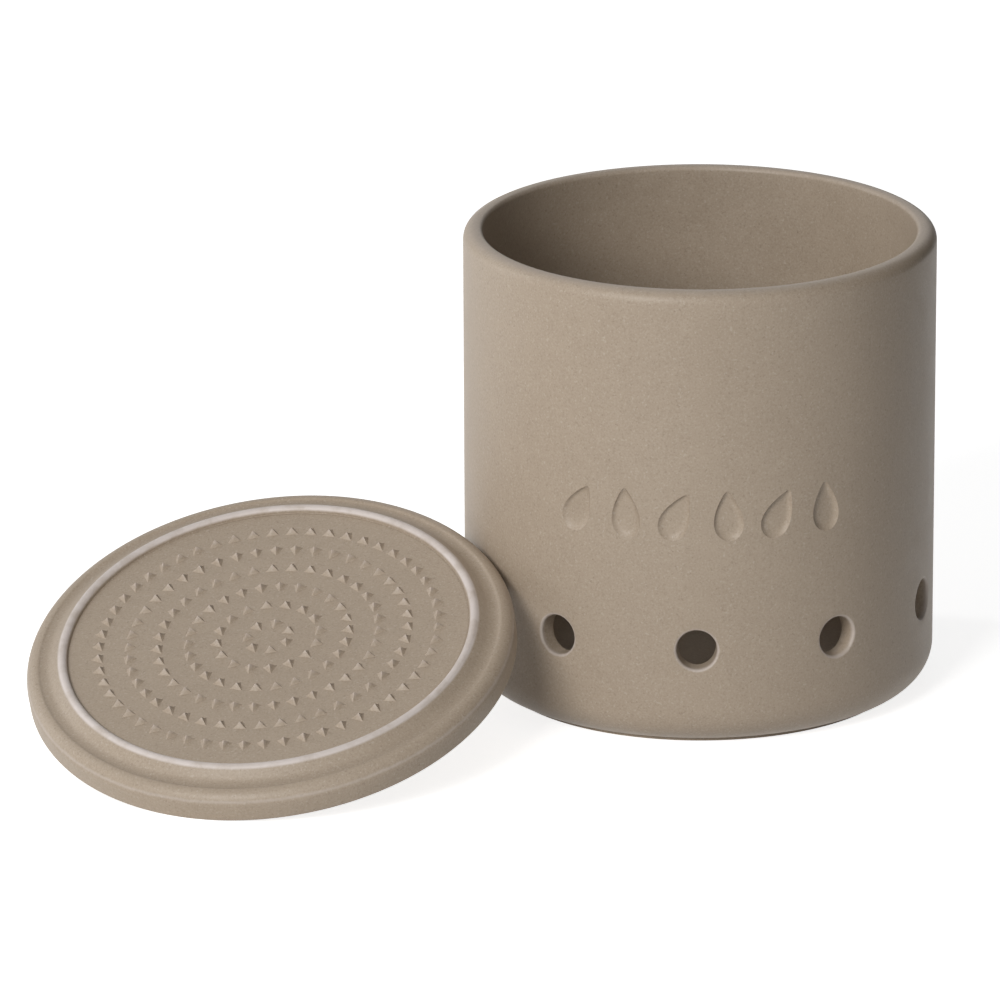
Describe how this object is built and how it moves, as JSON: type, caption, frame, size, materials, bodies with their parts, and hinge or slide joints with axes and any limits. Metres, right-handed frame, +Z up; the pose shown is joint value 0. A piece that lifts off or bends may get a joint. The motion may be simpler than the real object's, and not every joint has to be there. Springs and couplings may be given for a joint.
{
  "type": "garlic keeper",
  "caption": "Round stoneware garlic keeper with low round vents, and its thick lid taken off and leaning on it, grater teeth up.",
  "frame": {"origin": "middle of the canister's flat foot, on the surface that it stands on", "axes": "+Z up along the canister's axis, +X from the leaning lid towards the canister, -Y towards the viewer"},
  "size_m": [0.2298, 0.1719, 0.12],
  "materials": {
    "pot_glaze": "satin taupe speckled glaze",
    "lid_glaze": "satin taupe speckled glaze, paler where it thins over edges"
  },
  "bodies": {
    "canister": {"pot": "pot_glaze"},
    "cover": {"lid": "lid_glaze"}
  },
  "joints": [
    {"name": "lid_lift", "type": "slide", "parent": "canister", "child": "cover", "axis": [0, 0, 1], "range_m": [0, 0.13]}
  ]
}
